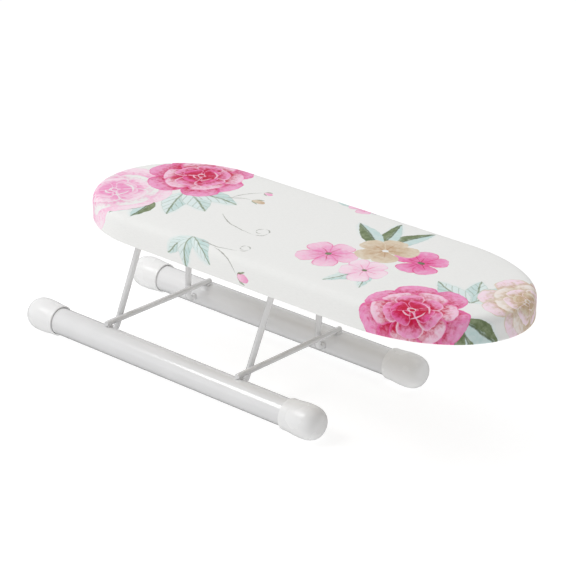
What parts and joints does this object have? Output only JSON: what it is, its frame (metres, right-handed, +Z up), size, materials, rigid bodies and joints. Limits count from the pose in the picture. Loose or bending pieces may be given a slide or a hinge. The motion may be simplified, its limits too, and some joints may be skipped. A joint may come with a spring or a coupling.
{
  "type": "sleeve ironing board",
  "caption": "Tabletop sleeve ironing board: a padded, printed-cotton board on folding wire legs over a tubular foot frame with plastic end caps.",
  "frame": {"origin": "on the ground, under the centre of the object's outer box, with the board open and level", "axes": "+X along the board towards its free end, +Y to the rear long side, +Z up"},
  "size_m": [0.4514, 0.1472, 0.1318],
  "materials": {
    "frame_paint": "gloss",
    "cap_plastic": "gloss",
    "zinc_steel": "satin",
    "fibreboard": "matte",
    "foam": "matte",
    "printed_cotton": "matte",
    "elastic": "matte"
  },
  "bodies": {
    "feet": {"crossbar_left": "frame_paint", "crossbar_right": "frame_paint", "end_cap_front_left": "cap_plastic", "end_cap_front_right": "cap_plastic", "end_cap_rear_left": "cap_plastic", "end_cap_rear_right": "cap_plastic", "foot_tube_front": "frame_paint", "foot_tube_rear": "frame_paint"},
    "leg_right": {"leg_wire_right": "frame_paint"},
    "leg_left": {"leg_wire_left": "frame_paint"},
    "board": {"board_panel": "fibreboard", "clip_screw_left_front_1": "zinc_steel", "clip_screw_left_front_2": "zinc_steel", "clip_screw_left_rear_1": "zinc_steel", "clip_screw_left_rear_2": "zinc_steel", "clip_screw_right_front_1": "zinc_steel", "clip_screw_right_front_2": "zinc_steel", "clip_screw_right_rear_1": "zinc_steel", "clip_screw_right_rear_2": "zinc_steel", "fabric_cover": "printed_cotton", "foam_pad": "foam", "hem_elastic": "elastic", "pivot_clip_left_front": "zinc_steel", "pivot_clip_left_rear": "zinc_steel", "pivot_clip_right_front": "zinc_steel", "pivot_clip_right_rear": "zinc_steel"}
  },
  "joints": [
    {"name": "right_leg_fold", "type": "hinge", "parent": "feet", "child": "leg_right", "pos_m": [-0.0034, 0, 0.0136], "axis": [0, 1, 0], "range_deg": [-93, 0]},
    {"name": "left_leg_fold", "type": "hinge", "parent": "feet", "child": "leg_left", "pos_m": [-0.1478, 0, 0.0136], "axis": [0, 1, 0], "range_deg": [-93, 0]},
    {"name": "board_level", "type": "hinge", "parent": "leg_right", "child": "board", "pos_m": [0.01684, 0, 0.1082], "axis": [0, 1, 0], "range_deg": [0, 93]}
  ],
  "couplings": [
    {"joint": "left_leg_fold", "follows": "right_leg_fold", "ratio": 1},
    {"joint": "board_level", "follows": "right_leg_fold", "ratio": -1}
  ]
}
